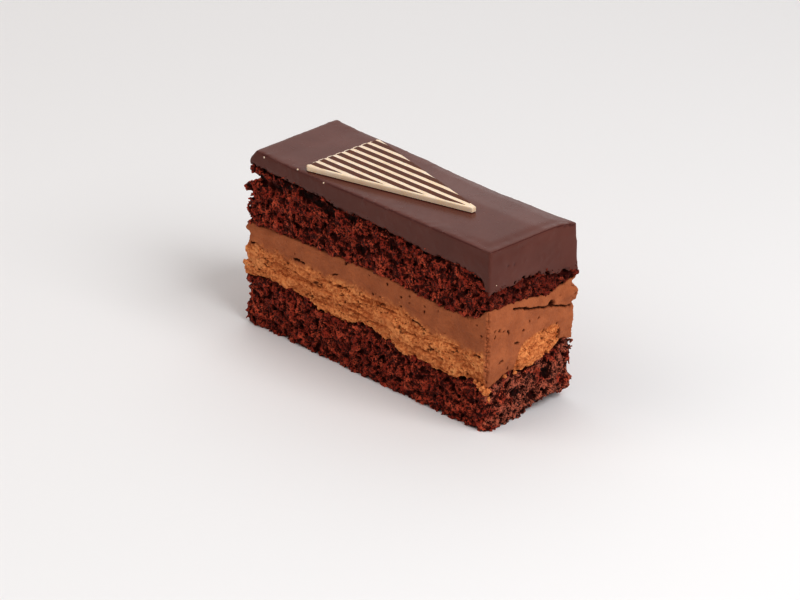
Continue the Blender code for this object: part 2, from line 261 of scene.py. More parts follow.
class Tree:
    """A node tree being made. Each call adds one node and hands back the node or its output."""

    def __init__(self, tree):
        self.tree = tree

    def node(self, kind, sockets=None, **settings):
        made = self.tree.nodes.new(kind)
        for key, value in settings.items():
            setattr(made, key, value)
        for key, value in (sockets or {}).items():
            self.feed(made.inputs[key], value)
        return made

    def feed(self, socket, value):
        if isinstance(value, bpy.types.NodeSocket):
            self.tree.links.new(value, socket)
        else:
            socket.default_value = value

    def math(self, operation, *values, clamp=False):
        made = self.node("ShaderNodeMath", dict(enumerate(values)), operation=operation, use_clamp=clamp)
        return made.outputs[0]

    def vector(self, operation, *values, out="Vector"):
        made = self.node("ShaderNodeVectorMath", dict(enumerate(values)), operation=operation)
        return made.outputs[out]

    def fade(self, value, start, end, low=0.0, high=1.0):
        """Eases from low to high as value goes from start to end."""
        sockets = {"Value": value, "From Min": start, "From Max": end, "To Min": low, "To Max": high}
        return self.node("ShaderNodeMapRange", sockets, interpolation_type="SMOOTHSTEP").outputs[0]

    def least(self, *values):
        lowest = values[0]
        for value in values[1:]:
            lowest = self.math("MINIMUM", lowest, value)
        return lowest

    def product(self, *values):
        made = values[0]
        for value in values[1:]:
            made = self.math("MULTIPLY", made, value)
        return made

    def total(self, *values):
        summed = values[0]
        for value in values[1:]:
            summed = self.math("ADD", summed, value)
        return summed

    def parts(self, vector):
        """The X, Y and Z of a vector."""
        return self.node("ShaderNodeSeparateXYZ", {"Vector": vector}).outputs

    def share(self, value, start, end):
        """How far value has come from start to end, from 0 to 1."""
        sockets = {"Value": value, "From Min": start, "From Max": end}
        return self.node("ShaderNodeMapRange", sockets).outputs[0]

    def noise(self, place, size, detail=2.0, roughness=0.5, out="Fac"):
        """Smooth noise from 0 to 1 whose lumps are about size metres wide."""
        scale = self.math("DIVIDE", 1.0, size) if isinstance(size, bpy.types.NodeSocket) else 1 / size
        sockets = {"Vector": place, "Scale": scale, "Detail": detail, "Roughness": roughness}
        return self.node("ShaderNodeTexNoise", sockets).outputs[out]

    def cells(self, place, size):
        """Cells about size metres wide. Hands back the node: Distance is 0 at a cell's middle."""
        return self.node("ShaderNodeTexVoronoi", {"Vector": place, "Scale": 1 / size})

    def warped(self, place, size, reach):
        """The place moved about by noise, by up to half of reach each way."""
        shift = self.vector("SUBTRACT", self.noise(place, size, out="Color"), (0.5, 0.5, 0.5))
        return self.vector("MULTIPLY_ADD", shift, (reach, reach, reach), place)

    def profile(self, value, points):
        """A smooth line through (position, height) points in millimetres, read at value, in metres."""
        first, last = points[0][0], points[-1][0]
        top = max(height for _, height in points)
        line = self.node("ShaderNodeFloatCurve", {"Value": self.share(value, first * MM, last * MM)})
        curve = line.mapping.curves[0]
        ends = curve.points[0], curve.points[-1]
        for end, (_, height) in zip(ends, (points[0], points[-1])):
            end.location.y = height / top
        for position, height in points[1:-1]:
            curve.points.new((position - first) / (last - first), height / top)
        line.mapping.update()
        return self.math("MULTIPLY", line.outputs[0], top * MM)


def new_group(name, kind, inputs, outputs):
    """An empty node group with named sockets: (name, type) or (name, type, value) for each."""
    group = bpy.data.node_groups.new(name, kind)
    for direction, sockets in (("INPUT", inputs), ("OUTPUT", outputs)):
        for socket_name, socket_type, *value in sockets:
            made = group.interface.new_socket(
                socket_name, in_out=direction, socket_type=f"NodeSocket{socket_type}"
            )
            if value:
                made.default_value = value[0]
    return group


def depth_inside(tree, solid):
    """How deep a point lies inside a closed solid. Outside it, this is below zero."""
    upwards = (0.013, 0.027, 1.0)
    distance = tree.node("GeometryNodeProximity", {"Geometry": solid}).outputs["Distance"]
    ray = tree.node(
        "GeometryNodeRaycast", {"Target Geometry": solid, "Ray Direction": upwards, "Ray Length": 1.0}
    )
    facing = tree.vector("DOT_PRODUCT", ray.outputs["Hit Normal"], upwards, out="Value")
    inside = tree.product(tree.math("GREATER_THAN", facing, 0.0), ray.outputs["Is Hit"])
    side = tree.math("MULTIPLY_ADD", inside, 2.0, -1.0)
    return tree.math("MULTIPLY", side, distance)


def box_depth(tree, place, low, high):
    """How deep a point lies inside a box."""
    axes = []
    for gap in (tree.vector("SUBTRACT", place, low), tree.vector("SUBTRACT", high, place)):
        axes.extend(tree.parts(gap))
    return tree.least(*axes)


def behind_cut(tree, x, y):
    """How far a point lies behind the nearest cut plane."""
    from_end = tree.math("SUBTRACT", HALF_LENGTH, tree.math("ABSOLUTE", x))
    from_side = tree.math("SUBTRACT", HALF_WIDTH, tree.math("ABSOLUTE", y))
    return tree.least(from_end, from_side)


def wall_share(tree, x, y):
    """1 on the cut faces, falling to 0 a little way behind them."""
    return tree.fade(behind_cut(tree, x, y), 3.2 * MM, 2.4 * MM)


def upward_share(tree):
    """How squarely a face looks up: 1 for a level top, 0 for a wall."""
    return tree.parts(tree.node("GeometryNodeInputNormal").outputs[0])["Z"]


def carving_tree(name, sizes, relief, in_depth):
    """A tree that turns a solid into its food. It has inputs for the sizes and objects that relief reads.

    relief(tree, given, place, x, y, z) hands back how far the food stands out at a place, and the marks
    that the food's material reads, by name. With in_depth the relief is carved in the volume, pores and
    all. Otherwise it is raised on a finer, smooth skin.
    """
    shared = [
        ("Solid", "Geometry"),
        ("Cell Size", "Float", 0.5 * MM),
        ("Growth", "Float", 0.0),
        ("Lowest", "Vector", (0.0, 0.0, 0.0)),
        ("Highest", "Vector", (0.0, 0.0, 0.0)),
        ("Flatness", "Float", 0.0),
        ("Smoothing", "Int", 0),
        ("Smallest Scrap", "Int", 300),
        ("Food", "Material"),
    ]
    group = new_group(name, "GeometryNodeTree", shared + sizes, [("Food", "Geometry")])
    tree = Tree(group)
    given = tree.node("NodeGroupInput").outputs
    solid = tree.node("GeometryNodeMergeByDistance", {"Geometry": given["Solid"], "Distance": 0.01 * MM})
    solid = solid.outputs["Geometry"]
    place = tree.node("GeometryNodeInputPosition").outputs[0]
    x, y, z = tree.parts(place)

    height, marks = relief(tree, given, place, x, y, z)
    height = tree.product(height, tree.fade(behind_cut(tree, x, y), SEAM_FADE[1], SEAM_FADE[0]))
    growth = tree.math("ADD", height, given["Growth"]) if in_depth else given["Growth"]
    depth = tree.math("ADD", depth_inside(tree, solid), growth)
    kept = tree.least(depth, box_depth(tree, place, given["Lowest"], given["Highest"]))

    ends = tree.node("GeometryNodeBoundBox", {"Geometry": solid}).outputs
    margin = (CELL_MARGIN,) * 3
    low = tree.vector("SUBTRACT", ends["Min"], margin)
    high = tree.vector("ADD", ends["Max"], margin)
    counts = tree.parts(tree.vector("DIVIDE", tree.vector("SUBTRACT", high, low), given["Cell Size"]))
    volume = tree.node(
        "GeometryNodeVolumeCube",
        {
            "Density": kept,
            "Background": -1.0,
            "Min": low,
            "Max": high,
            "Resolution X": counts["X"],
            "Resolution Y": counts["Y"],
            "Resolution Z": counts["Z"],
        },
    )
    skin = tree.node(
        "GeometryNodeVolumeToMesh",
        {"Volume": volume.outputs[0], "Threshold": 0.0, "Adaptivity": given["Flatness"]},
    ).outputs[0]

    # Loose scraps and sealed bubbles are separate islands of few points
    island = tree.node("GeometryNodeInputMeshIsland").outputs["Island Index"]
    points = tree.node("GeometryNodeAccumulateField", {"Value": 1.0, "Group ID": island}).outputs["Total"]
    scrap = tree.node(
        "FunctionNodeCompare", {"A": points, "B": given["Smallest Scrap"]}, operation="LESS_THAN"
    ).outputs[0]
    skin = tree.node("GeometryNodeDeleteGeometry", {"Geometry": skin, "Selection": scrap}).outputs[0]

    if not in_depth:
        inside = tree.math("GREATER_THAN", behind_cut(tree, x, y), SKIN_DEPTH)
        skin = tree.node(
            "GeometryNodeDeleteGeometry", {"Geometry": skin, "Selection": inside}, domain="FACE"
        ).outputs[0]
        skin = tree.node("GeometryNodeSubdivisionSurface", {"Mesh": skin, "Level": 1}).outputs[0]

    # Level faces are eased out more than walls, and the marks are laid on before the skin is raised
    level = tree.fade(upward_share(tree), 0.90, 0.98, 0.12, 1.0)
    eased = tree.node(
        "GeometryNodeBlurAttribute",
        {"Value": place, "Iterations": given["Smoothing"], "Weight": level},
        data_type="FLOAT_VECTOR",
    )
    skin = tree.node("GeometryNodeSetPosition", {"Geometry": skin, "Position": eased.outputs[0]}).outputs[0]
    for mark, value in marks.items():
        skin = tree.node(
            "GeometryNodeStoreNamedAttribute", {"Geometry": skin, "Name": mark, "Value": value}
        ).outputs[0]
    if not in_depth:
        normal = tree.node("GeometryNodeInputNormal").outputs[0]
        raised = tree.vector("MULTIPLY_ADD", normal, height, place)
        held = tree.vector("MAXIMUM", tree.vector("MINIMUM", raised, given["Highest"]), given["Lowest"])
        skin = tree.node("GeometryNodeSetPosition", {"Geometry": skin, "Position": held}).outputs[0]
    skin = tree.node("GeometryNodeRealizeInstances", {"Geometry": skin}).outputs[0]
    skin = tree.node("GeometryNodeSetMaterial", {"Geometry": skin, "Material": given["Food"]}).outputs[0]
    tree.node("NodeGroupOutput", {"Food": skin})
    return group


def drawn_mesh(tree, source):
    """The mesh of an object that an input names."""
    return tree.node("GeometryNodeObjectInfo", {"Object": source}).outputs["Geometry"]


def groove(tree, lines, place, width, depth):
    """A groove along the lines of an object: its depth, below zero, at a place.

    The lines lie in the cut planes. Where the food bulges out of a plane, the place is held to it.
    """
    held = tree.vector("MINIMUM", place, (HALF_LENGTH, 1.0, 1.0))
    held = tree.vector("MAXIMUM", held, (-HALF_LENGTH, -HALF_WIDTH, -1.0))
    near = tree.node(
        "GeometryNodeProximity",
        {"Geometry": drawn_mesh(tree, lines), "Sample Position": held},
        target_element="EDGES",
    )
    return tree.fade(near.outputs["Distance"], width, width * 0.3, 0.0, -depth)


def distance_to(tree, source):
    """How far a point lies from the surface of an object that an input names."""
    return tree.node("GeometryNodeProximity", {"Geometry": drawn_mesh(tree, source)}).outputs["Distance"]


def sponge_relief(tree, given, place, x, y, z):
    """Crumb: uneven webs round small open cells, with deeper pores here and there."""
    stirred = tree.warped(tree.warped(place, 1.4 * MM, 1.3 * MM), 5.0 * MM, 2.5 * MM)
    web = tree.cells(stirred, WEB_SIZE).outputs["Distance"]
    webs = tree.product(tree.math("SUBTRACT", web, WEB_LEVEL), given["Web Height"])
    pore = tree.fade(tree.noise(place, PORE_SIZE, 2.0, 0.6), 0.52, 0.68)
    pores = tree.product(pore, given["Pore Depth"], -1.0)
    fine = tree.math("SUBTRACT", tree.noise(place, FINE_CRUMB_SIZE, 2.0, 0.6), 0.5)
    gaps = groove(tree, given["Gap Lines"], tree.warped(place, 2.0 * MM, 2.4 * MM), GAP_WIDTH, GAP_DEPTH)

    # Hollows along the seam with the layer above
    hollow = tree.fade(tree.noise(place, HOLLOW_SIZE, 2.0, 0.6), 0.42, 0.60, 0.35 * MM, -HOLLOW_DEPTH)
    seam = tree.product(hollow, tree.fade(distance_to(tree, given["Layer Above"]), 2.0 * MM, 0.6 * MM))

    height = tree.total(webs, pores, gaps, seam, tree.product(fine, given["Fine Height"]))
    raised = tree.share(height, -1.1 * MM, 0.5 * MM)
    lifted = tree.fade(z, 0.2 * MM, 0.6 * MM)
    sunk = tree.fade(gaps, -0.2 * MM, -1.4 * MM)
    bare = tree.product(lifted, tree.math("SUBTRACT", 1.0, sunk))
    loose = tree.product(bare, wall_share(tree, x, y), tree.fade(raised, 0.3, 0.6))
    return height, {"raised": raised, "sunk": sunk, "loose": loose}


def torn_share(tree, place, x, y, z, at_end):
    """1 where the mousse is torn and 0 where it is cut smooth, on the near face and on the short end."""
    wander = tree.math("SUBTRACT", tree.noise(place, 6.0 * MM, 3.0, 0.6), 0.5)
    wander = tree.product(wander, TORN_EDGE_WANDER)
    along = tree.math("ADD", tree.profile(x, TORN_ALONG), wander)
    across = tree.math("ADD", tree.profile(y, TORN_ACROSS), tree.product(wander, 0.35))
    long_torn = tree.fade(tree.math("SUBTRACT", z, along), 1.8 * MM, -1.8 * MM)
    end_torn = tree.fade(tree.math("SUBTRACT", z, across), 0.5 * MM, -0.5 * MM)
    return tree.node("ShaderNodeMix", {"Factor": at_end, "A": long_torn, "B": end_torn}).outputs["Result"]


def mousse_lumps(tree, given, place, torn, at_end):
    """Flaky lumps, drawn out along the slice by the knife, with finer grain on them."""
    drawn = tree.warped(tree.vector("MULTIPLY", place, (0.45, 1.0, 1.1)), 3.0 * MM, 1.5 * MM)
    coarse = tree.math("SUBTRACT", tree.noise(drawn, LUMP_SIZE, 4.0, 0.6), 0.5)
    steps = tree.math("PINGPONG", tree.product(coarse, 4.0), 0.5)
    lumps = tree.math("MULTIPLY_ADD", steps, 0.35, coarse)
    lump_height = tree.math("MULTIPLY_ADD", torn, given["Torn Height"], given["Cut Height"])
    lump_height = tree.product(lump_height, tree.math("MULTIPLY_ADD", at_end, -0.55, 1.0))
    fine = tree.math("SUBTRACT", tree.noise(place, 1.0 * MM, 3.0, 0.7), 0.5)
    fine_height = tree.math("MULTIPLY_ADD", torn, 0.9 * MM, 0.5 * MM)
    fibres = tree.vector("MULTIPLY", place, (0.28, 1.0, 1.3))
    flake = tree.cells(tree.warped(tree.warped(fibres, 1.0 * MM, 1.0 * MM), 4.0 * MM, 2.5 * MM), FLAKE_SIZE)
    flake = tree.parts(flake.outputs["Color"])["Y"]
    flake_height = tree.math("MULTIPLY_ADD", torn, given["Flake Height"], 0.12 * MM)
    flakes = tree.product(tree.math("SUBTRACT", flake, 0.5), flake_height)
    return tree.total(tree.product(lumps, lump_height), tree.product(fine, fine_height), flakes)


def mousse_opening(tree, given, place, ragged, torn, at_end):
    """Burst bubbles, hairline cracks and the drawn tears, as one depth below zero."""
    bubbles = tree.cells(tree.warped(place, 2.0 * MM, 1.4 * MM), BUBBLE_SIZE)
    draw = tree.parts(bubbles.outputs["Color"])["X"]
    radius = tree.fade(draw, given["Bubble Rarity"], 1.0, 0.0, 0.3)
    opened = tree.math("SUBTRACT", radius, bubbles.outputs["Distance"])
    pits = tree.fade(opened, 0.0, 0.14, 0.0, -BUBBLE_DEPTH)

    stretched = tree.vector("MULTIPLY", tree.warped(place, 2.0 * MM, 1.6 * MM), (0.4, 1.0, 1.2))
    seam = tree.math("SUBTRACT", tree.noise(stretched, CRACK_SIZE, 2.0, 0.5), 0.5)
    hairline = tree.fade(tree.math("ABSOLUTE", seam), 0.026, 0.0)
    broken = tree.fade(tree.noise(place, 4.0 * MM, 2.0), 0.45, 0.55)
    cracked = tree.math("MULTIPLY_ADD", torn, 0.8, 0.2)
    cracks = tree.product(broken, cracked, hairline, -CRACK_DEPTH)

    tears = groove(tree, given["Tear Lines"], ragged, TEAR_WIDTH, TEAR_DEPTH)
    whole = tree.fade(tree.noise(place, 4.5 * MM, 2.0), 0.42, 0.55, 0.3, 1.0)
    tears = tree.product(tears, tree.math("MAXIMUM", at_end, whole))
    return tree.total(pits, cracks, tears)


def mousse_relief(tree, given, place, x, y, z):
    """Mousse: cut smooth above and torn below, with pits, tears, notches and a beaded near edge."""
    at_end = tree.fade(x, HALF_LENGTH - 1.6 * MM, HALF_LENGTH - 0.4 * MM)
    torn = torn_share(tree, place, x, y, z, at_end)
    lumps = mousse_lumps(tree, given, place, torn, at_end)

    # Drawn lines are shaken within their own face only
    shaken = tree.warped(tree.warped(place, 1.2 * MM, 1.1 * MM), 4.0 * MM, 1.4 * MM)
    in_face = {"X": tree.math("SUBTRACT", 1.0, at_end), "Y": at_end, "Z": 1.0}
    in_face = tree.node("ShaderNodeCombineXYZ", in_face).outputs["Vector"]
    ragged = tree.vector("MULTIPLY_ADD", tree.vector("SUBTRACT", shaken, place), in_face, place)
    opening = mousse_opening(tree, given, place, ragged, torn, at_end)
    notches = groove(tree, given["Notch Lines"], ragged, NOTCH_WIDTH, NOTCH_DEPTH)

    # Beads along the near upright edge
    from_edge = tree.math("MAXIMUM", tree.math("SUBTRACT", HALF_LENGTH, x), tree.math("ADD", HALF_WIDTH, y))
    bead = tree.cells(tree.warped(place, 0.8 * MM, 0.6 * MM), BEAD_SIZE).outputs["Distance"]
    bead = tree.math("SUBTRACT", 0.36, bead)
    beads = tree.product(bead, tree.fade(from_edge, 1.1 * MM, 0.3 * MM), BEAD_HEIGHT)

    # The start end and the far corner are broken off rougher
    start_end = tree.fade(x, -HALF_LENGTH + 5.0 * MM, -HALF_LENGTH)
    far_side = tree.fade(y, HALF_WIDTH - 4.0 * MM, HALF_WIDTH)
    far_corner = tree.product(far_side, tree.fade(x, 48.0 * MM, 58.0 * MM))
    crest = tree.noise(tree.warped(place, 2.0 * MM, 1.2 * MM), 2.4 * MM, 3.0, 0.65)
    crest = tree.math("SUBTRACT", crest, 0.55)
    crests = tree.product(tree.math("MAXIMUM", start_end, far_corner), BROKEN_HEIGHT, crest)

    height = tree.total(lumps, opening, notches, beads, crests)
    sunk = tree.share(opening, 0.0, -0.8 * MM)
    bare = tree.math("SUBTRACT", 1.0, sunk, clamp=True)
    loose = tree.product(torn, bare, wall_share(tree, x, y))
    raised = tree.share(lumps, -0.6 * MM, 0.6 * MM)
    return height, {"torn": torn, "raised": raised, "sunk": sunk, "loose": loose}


def glaze_relief(tree, given, place, x, y, z):
    """Glaze: smooth, with a ragged foot, a top that droops towards the short end, dents and pits."""
    waves = tree.math("SUBTRACT", tree.noise(place, WAVE_SIZE, 1.0), 0.5)
    waves = tree.product(waves, given["Wave Height"])
    dents = groove(tree, given["Dent Lines"], tree.warped(place, 1.5 * MM, 0.8 * MM), DENT_WIDTH, DENT_DEPTH)
    to_sponge = distance_to(tree, given["Layer Below"])
    bites = tree.fade(tree.noise(place, BITE_SIZE, 2.0, 0.6), 0.52, 0.66)
    foot = tree.product(bites, tree.fade(to_sponge, 1.9 * MM, 0.6 * MM, 0.15 * MM, -BITE_DEPTH))
    droop = tree.fade(z, 62.0 * MM, 66.0 * MM, 0.0, -DROOP)
    droop = tree.product(tree.fade(x, 36.0 * MM, HALF_LENGTH), droop)
    height = tree.total(waves, dents, foot, droop)
    sunk = tree.share(tree.math("ADD", dents, foot), 0.0, -0.6 * MM)
    crumbed = tree.fade(to_sponge, 2.8 * MM, 0.8 * MM)
    more_crumbs = tree.fade(x, -30.0 * MM, 35.0 * MM, 0.3, 1.0)
    loose = tree.product(crumbed, more_crumbs, wall_share(tree, x, y))
    return height, {"sunk": sunk, "loose": loose, "wall": tree.fade(upward_share(tree), 0.9, 0.5)}


def scatter_tree():
    """A tree that strews irregular grains over a piece, as thickly as its "loose" mark says."""
    group = new_group(
        "grain_scatter",
        "GeometryNodeTree",
        [
            ("Body", "Geometry"),
            ("Grains per mm2", "Float", 1.0),
            ("Smallest", "Float", 0.25 * MM),
            ("Largest", "Float", 0.6 * MM),
            ("Lowest", "Vector", (0.0, 0.0, 0.0)),
            ("Highest", "Vector", (0.0, 0.0, 0.0)),
            ("Seed", "Int", 0),
            ("Food", "Material"),
        ],
        [("Grains", "Geometry")],
    )
    tree = Tree(group)
    given = tree.node("NodeGroupInput").outputs
    loose = tree.node(
        "GeometryNodeInputNamedAttribute", {"Name": "loose"}, data_type="FLOAT"
    ).outputs["Attribute"]
    density = tree.product(loose, tree.product(given["Grains per mm2"], 1 / (MM * MM)))
    strewn = tree.node(
        "GeometryNodeDistributePointsOnFaces",
        {"Mesh": given["Body"], "Density": density, "Seed": given["Seed"]},
    )
    points = strewn.outputs["Points"]

    # Each grain has a tone and a lightness of its own, and counts as torn and not sunk
    tone = tree.node("FunctionNodeRandomValue", {"Seed": 7}, data_type="FLOAT").outputs["Value"]
    lit = tree.node("FunctionNodeRandomValue", {"Seed": 8}, data_type="FLOAT").outputs["Value"]
    lit = tree.math("MULTIPLY_ADD", lit, 0.85, 0.15)
    for name, value in (("tone", tone), ("raised", lit), ("torn", 1.0), ("sunk", 0.0)):
        points = tree.node(
            "GeometryNodeStoreNamedAttribute", {"Geometry": points, "Name": name, "Value": value}
        ).outputs[0]

    # Each is turned at random, squashed and dented. Dark grains are the small ones
    turn = tree.node("FunctionNodeRandomValue", {"Seed": 3}, data_type="FLOAT_VECTOR")
    turn.inputs["Max"].default_value = (math.tau,) * 3
    squash = tree.node("FunctionNodeRandomValue", {"Seed": 5}, data_type="FLOAT_VECTOR")
    squash.inputs["Min"].default_value = (0.45, 0.4, 0.7)
    squash.inputs["Max"].default_value = (0.95, 0.8, 1.6)
    size = tree.node("ShaderNodeMapRange", {"Value": tree.math("POWER", tone, 1.6)})
    tree.feed(size.inputs["To Min"], given["Smallest"])
    tree.feed(size.inputs["To Max"], given["Largest"])
    scale = tree.vector("SCALE", squash.outputs[0])
    tree.feed(scale.node.inputs["Scale"], size.outputs[0])
    grain = tree.node("GeometryNodeMeshIcoSphere", {"Radius": 0.5, "Subdivisions": 1}).outputs["Mesh"]
    grains = tree.node(
        "GeometryNodeInstanceOnPoints",
        {"Points": points, "Instance": grain, "Rotation": turn.outputs[0], "Scale": scale},
    ).outputs[0]
    grains = tree.node("GeometryNodeRealizeInstances", {"Geometry": grains}).outputs[0]
    place = tree.node("GeometryNodeInputPosition").outputs[0]
    dented = tree.warped(place, GRAIN_DENT, GRAIN_DENT)
    held = tree.vector("MAXIMUM", tree.vector("MINIMUM", dented, given["Highest"]), given["Lowest"])
    grains = tree.node("GeometryNodeSetPosition", {"Geometry": grains, "Position": held}).outputs[0]
    grains = tree.node("GeometryNodeSetShadeSmooth", {"Geometry": grains, "Shade Smooth": False}).outputs[0]
    grains = tree.node("GeometryNodeSetMaterial", {"Geometry": grains, "Material": given["Food"]}).outputs[0]
    tree.node("NodeGroupOutput", {"Grains": grains})
    return group


def line_object(name, lines):
    """Lines through points in millimetres, as a mesh of bare edges. A lone point becomes a short dash."""
    bm = bmesh.new()
    for line in lines:
        ends = [Vector(p) * MM for p in line]
        if len(ends) == 1:
            ends.append(ends[0] + Vector((0.2, 0.2, 0.2)) * MM)
        verts = [bm.verts.new(p) for p in ends]
        for pair in zip(verts, verts[1:]):
            bm.edges.new(pair)
    mesh = bpy.data.meshes.new(name)
    bm.to_mesh(mesh)
    bm.free()
    obj = bpy.data.objects.new(name, mesh)
    bpy.context.scene.collection.objects.link(obj)
    return obj


def on_near_face(lines):
    """Lines of (along X, height) points, placed on the near cut face."""
    return [[(along, -HALF_WIDTH / MM, height) for along, height in line] for line in lines]


def on_short_end(lines):
    """Lines of (along Y, height) points, placed on the short end."""
    return [[(HALF_LENGTH / MM, across, height) for across, height in line] for line in lines]


def set_inputs(modifier, group, sizes):
    """Sets a tree's inputs on its modifier, by the identifier that belongs to each name."""
    modifier.node_group = group
    sockets = {item.name: item.identifier for item in group.interface.items_tree if item.in_out == "INPUT"}
    for name, value in sizes.items():
        modifier[sockets[name]] = value


def inner_box():
    """The frame's box, a hair smaller at the sides and on top."""
    low, high = (Vector(corner) for corner in cad_box)
    hair = Vector((0.02, 0.02, 0.0)) * MM
    return {"Lowest": low + hair, "Highest": high - hair}


def carved(name, node, group, material, cell, **sizes):
    """A new piece: the frame's solid carved by a tree, as a plain mesh."""
    working = bpy.data.objects.new(name + "_working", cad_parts[node].data.copy())
    bpy.context.scene.collection.objects.link(working)
    coarser = 1.0
    modifier = working.modifiers.new("carving", "NODES")
    set_inputs(modifier, group, {"Cell Size": cell * coarser, "Food": material, **inner_box(), **sizes})
    return plain_piece(name, working)


def strewn(name, body, group, material, seed, per_mm2, largest):
    """A new piece: grains strewn over another piece, as one plain mesh."""
    working = bpy.data.objects.new(name + "_working", body.data.copy())
    bpy.context.scene.collection.objects.link(working)
    modifier = working.modifiers.new("strewing", "NODES")
    sizes = {"Seed": seed, "Grains per mm2": per_mm2, "Smallest": SMALLEST_GRAIN, "Largest": largest}
    set_inputs(modifier, group, {"Food": material, **inner_box(), **sizes})
    return plain_piece(name, working)


def plain_piece(name, working):
    """The evaluated mesh of a working object, as a new object. The working object goes."""
    graph = bpy.context.evaluated_depsgraph_get()
    mesh = bpy.data.meshes.new_from_object(
        working.evaluated_get(graph), preserve_all_data_layers=True, depsgraph=graph
    )
    mesh.name = name
    close_holes(mesh)
    bpy.data.objects.remove(working)
    piece = bpy.data.objects.new(name, mesh)
    bpy.context.scene.collection.objects.link(piece)
    return piece


def close_holes(mesh):
    """Closes each open rim of a mesh with one face."""
    bm = bmesh.new()
    bm.from_mesh(mesh)
    rims = [edge for edge in bm.edges if edge.is_boundary]
    if rims:
        faces = bmesh.ops.holes_fill(bm, edges=rims, sides=0)["faces"]
        bmesh.ops.triangulate(bm, faces=faces)
        bm.to_mesh(mesh)
    bm.free()


def new_material(name, roughness, **constants):
    """A material whose shader has these plain values. Hands back the material, its tree and its shader."""
    made = bpy.data.materials.new(name)
    made.use_nodes = True
    shader = made.node_tree.nodes["Principled BSDF"]
    shader.inputs["Roughness"].default_value = roughness
    for socket, value in constants.items():
        shader.inputs[socket.replace("_", " ")].default_value = value
    return made, Tree(made.node_tree), shader


def object_place(tree):
    """The place on the piece, in metres."""
    return tree.node("ShaderNodeTexCoord").outputs["Object"]


def mark(tree, name):
    """A mark that the piece's mesh carries."""
    return tree.node("ShaderNodeAttribute", attribute_name=name).outputs["Fac"]


def blend_colours(tree, share, low, high):
    """A colour between two others, each a colour or a socket."""
    mixed = tree.node("ShaderNodeMix", {"Factor": share}, data_type="RGBA")
    for socket, value in (("A_Color", low), ("B_Color", high)):
        colour = next(s for s in mixed.inputs if s.identifier == socket)
        tree.feed(colour, value if isinstance(value, bpy.types.NodeSocket) else (*value, 1.0))
    return next(s for s in mixed.outputs if s.identifier == "Result_Color")


def bumped(tree, height, strength, distance):
    """The normal of a surface that height, from 0 to 1, raises by up to distance."""
    sockets = {"Height": height, "Strength": strength, "Distance": distance}
    return tree.node("ShaderNodeBump", sockets).outputs[0]


def cloudy_shade_group():
    """A shader group: a shade that drifts in soft clouds between a deep and a pale one."""
    group = new_group(
        "cloudy_shade",
        "ShaderNodeTree",
        [(name, "Float") for name in ("Size", "Detail", "Unevenness")] + [("Deep", "Color"), ("Pale", "Color")],
        [("Shade", "Color")],
    )
    tree = Tree(group)
    given = tree.node("NodeGroupInput").outputs
    cloud = tree.noise(object_place(tree), given["Size"], given["Detail"], given["Unevenness"])
    shade = blend_colours(tree, tree.fade(cloud, 0.3, 0.7), given["Deep"], given["Pale"])
    tree.node("NodeGroupOutput", {"Shade": shade})
    return group


def fine_finish_group():
    """A shader group: fine unevenness, which bumps a surface and makes it duller here and there."""
    names = ("Size", "Unevenness", "Spread", "Glossiest", "Dullest", "Bump Strength", "Bump Height")
    group = new_group(
        "fine_finish",
        "ShaderNodeTree",
        [(name, "Float") for name in names],
        [("Roughness", "Float"), ("Normal", "Vector")],
    )
    tree = Tree(group)
    given = tree.node("NodeGroupInput").outputs
    fine = tree.noise(object_place(tree), given["Size"], 3.0, given["Unevenness"])
    start = tree.math("SUBTRACT", 0.5, given["Spread"])
    end = tree.math("ADD", 0.5, given["Spread"])
    roughness = tree.fade(fine, start, end, given["Glossiest"], given["Dullest"])
    normal = bumped(tree, fine, given["Bump Strength"], given["Bump Height"])
    tree.node("NodeGroupOutput", {"Roughness": roughness, "Normal": normal})
    return group


def cloudy(tree, size, deep, pale, unevenness=0.5, detail=3.0):
    """A shade that drifts between deep and pale in clouds about size metres wide."""
    sockets = {"Size": size, "Detail": detail, "Unevenness": unevenness}
    sockets.update({"Deep": (*deep, 1.0), "Pale": (*pale, 1.0)})
    return tree.node("ShaderNodeGroup", sockets, node_tree=cloudy_shade).outputs["Shade"]


def finely_finished(tree, shader, size, roughness, bump, unevenness=0.6, spread=0.2):
    """Feeds a shader's normal, and hands back its roughness: (glossiest, dullest) and (strength, height)."""
    sockets = {"Size": size, "Unevenness": unevenness, "Spread": spread}
    sockets.update({"Glossiest": roughness[0], "Dullest": roughness[1]})
    sockets.update({"Bump Strength": bump[0], "Bump Height": bump[1]})
    finish = tree.node("ShaderNodeGroup", sockets, node_tree=fine_finish).outputs
    tree.feed(shader.inputs["Normal"], finish["Normal"])
    return finish["Roughness"]


